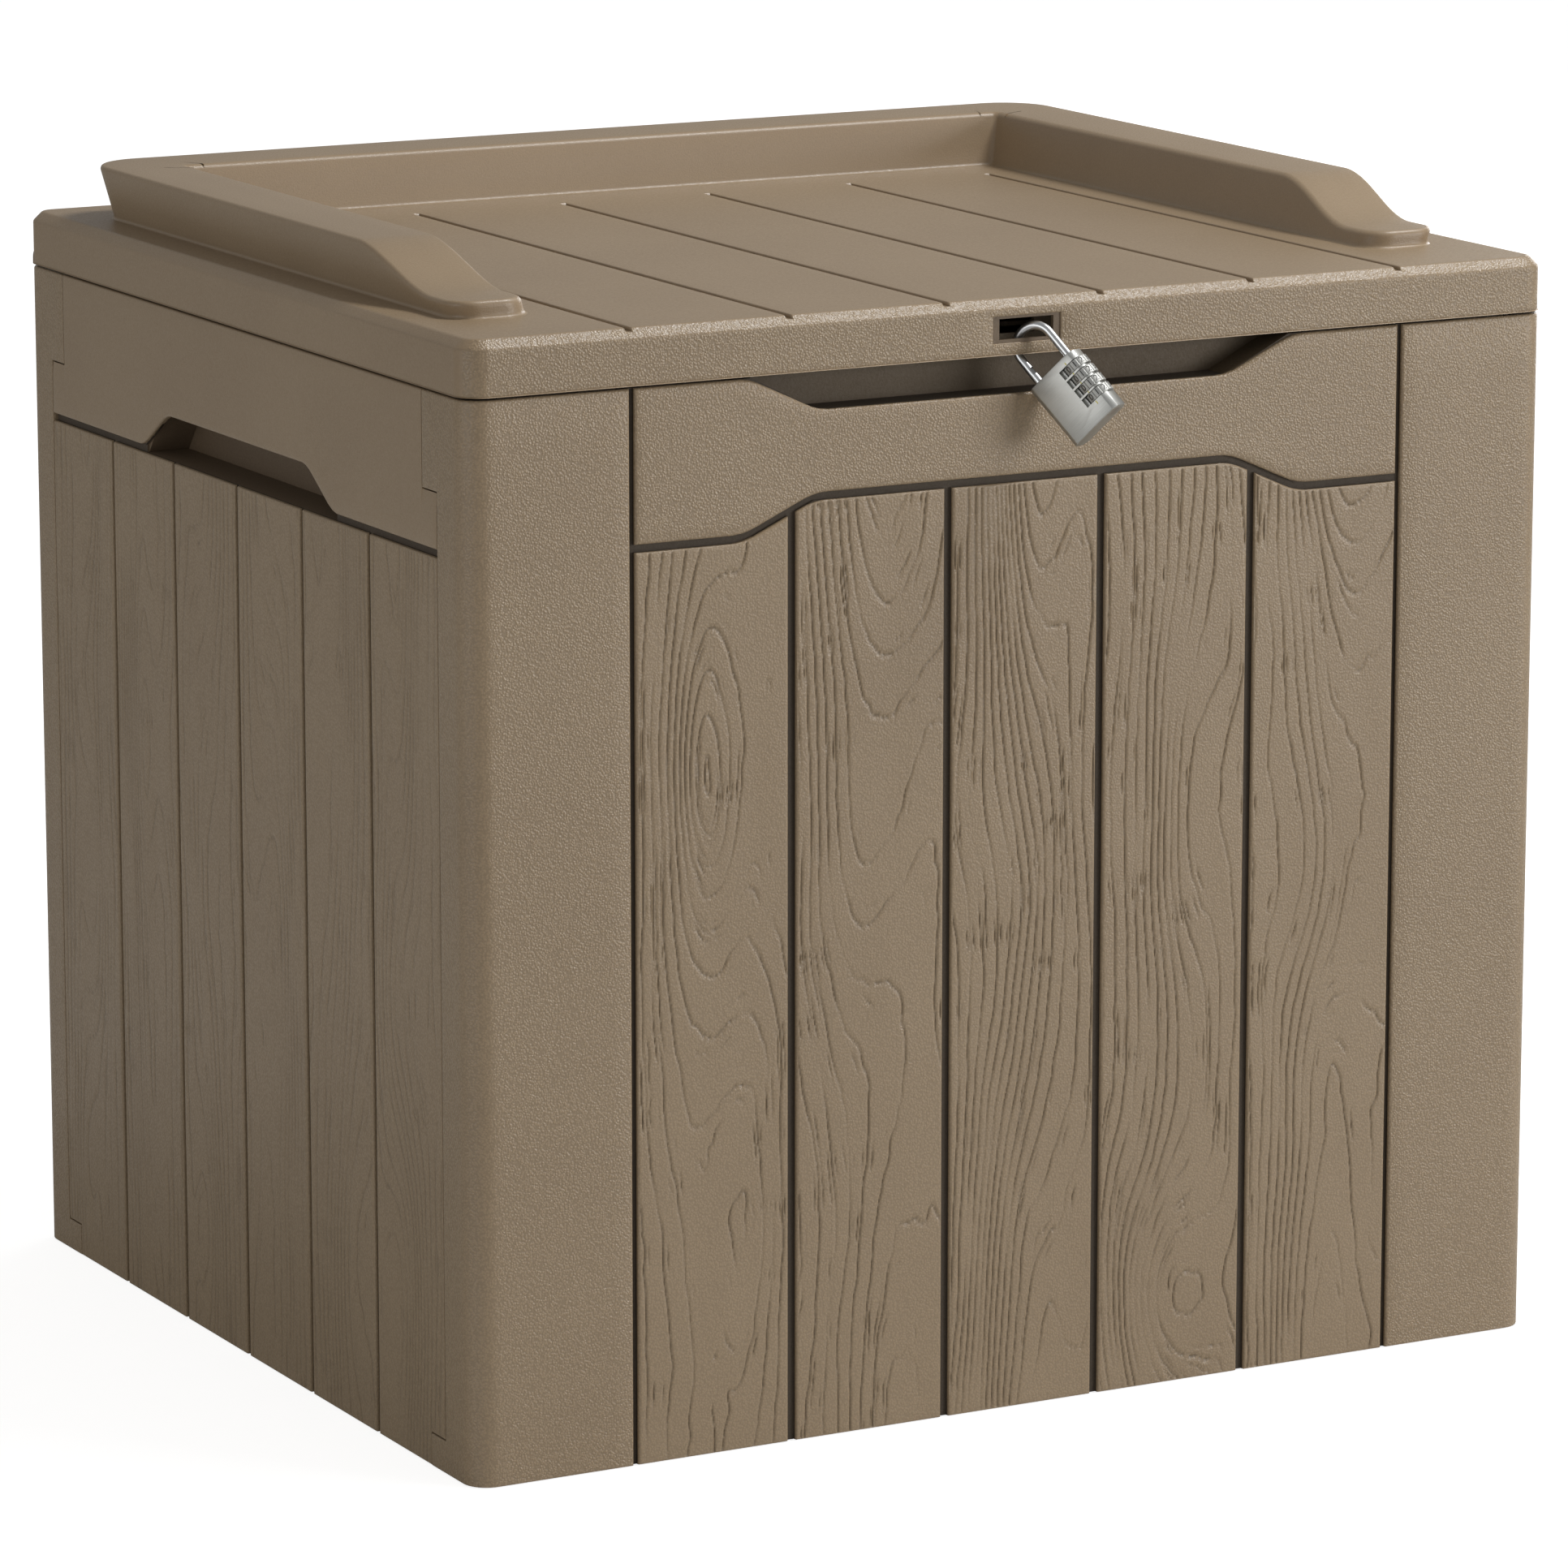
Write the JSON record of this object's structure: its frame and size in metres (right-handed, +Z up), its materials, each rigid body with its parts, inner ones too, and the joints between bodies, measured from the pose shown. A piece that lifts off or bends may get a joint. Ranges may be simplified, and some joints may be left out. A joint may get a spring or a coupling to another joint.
{
  "type": "deck storage box",
  "caption": "Resin outdoor storage box with planked walls, side hand-holds, a hinged lid with a U-shaped rail, and a combination padlock hung in the lid's slot.",
  "frame": {"origin": "centre of the walls' footprint on the ground, at the middle floor pad", "axes": "+X to the right seen from the front, +Y to the back where the lid's hinge is, +Z up"},
  "size_m": [0.56, 0.5284, 0.542],
  "materials": {
    "resin": "moulded tan polypropylene with a pebbled and woodgrain texture",
    "inner_resin": "plain moulded polypropylene",
    "steel": "zinc-plated steel",
    "chrome": "polished plated steel",
    "case_metal": "brushed",
    "dial": "black dials with light numerals"
  },
  "bodies": {
    "box": {"front_panel": "resin", "back_panel": "resin", "left_side_panel": "resin", "right_side_panel": "resin", "floor_panel": "inner_resin", "corner_screws": "steel"},
    "lid": {"lid_shell": "resin", "lid_liner": "inner_resin", "liner_screws": "steel", "hinge_pin_left": "steel", "hinge_pin_right": "steel"},
    "shackle": {"padlock_shackle": "chrome"},
    "lock_case": {"padlock_case": "case_metal", "padlock_bottom_plug": "chrome"},
    "dial_1": {"padlock_dial_1": "dial"},
    "dial_2": {"padlock_dial_2": "dial"},
    "dial_3": {"padlock_dial_3": "dial"},
    "dial_4": {"padlock_dial_4": "dial"}
  },
  "joints": [
    {"name": "lid_hinge", "type": "hinge", "parent": "box", "child": "lid", "pos_m": [0, 0.238, 0.49], "axis": [-1, 0, 0], "range_deg": [0, 95]},
    {"name": "padlock_swing", "type": "hinge", "parent": "lid", "child": "shackle", "pos_m": [0, -0.2425, 0.492], "axis": [-1, 0, 0], "range_deg": [0, 45]},
    {"name": "shackle_pull", "type": "slide", "parent": "shackle", "child": "lock_case", "axis": [0.3637, -0.6119, -0.7024], "range_m": [0, 0.008]},
    {"name": "dial_1_turn", "type": "hinge", "parent": "lock_case", "child": "dial_1", "pos_m": [0.0149, -0.26323, 0.48639], "axis": [-0.3637, 0.6119, 0.7024], "continuous": true},
    {"name": "dial_2_turn", "type": "hinge", "parent": "lock_case", "child": "dial_2", "pos_m": [0.01687, -0.26653, 0.48259], "axis": [-0.3637, 0.6119, 0.7024], "continuous": true},
    {"name": "dial_3_turn", "type": "hinge", "parent": "lock_case", "child": "dial_3", "pos_m": [0.01883, -0.26983, 0.4788], "axis": [-0.3637, 0.6119, 0.7024], "continuous": true},
    {"name": "dial_4_turn", "type": "hinge", "parent": "lock_case", "child": "dial_4", "pos_m": [0.0208, -0.27314, 0.47501], "axis": [-0.3637, 0.6119, 0.7024], "continuous": true}
  ]
}
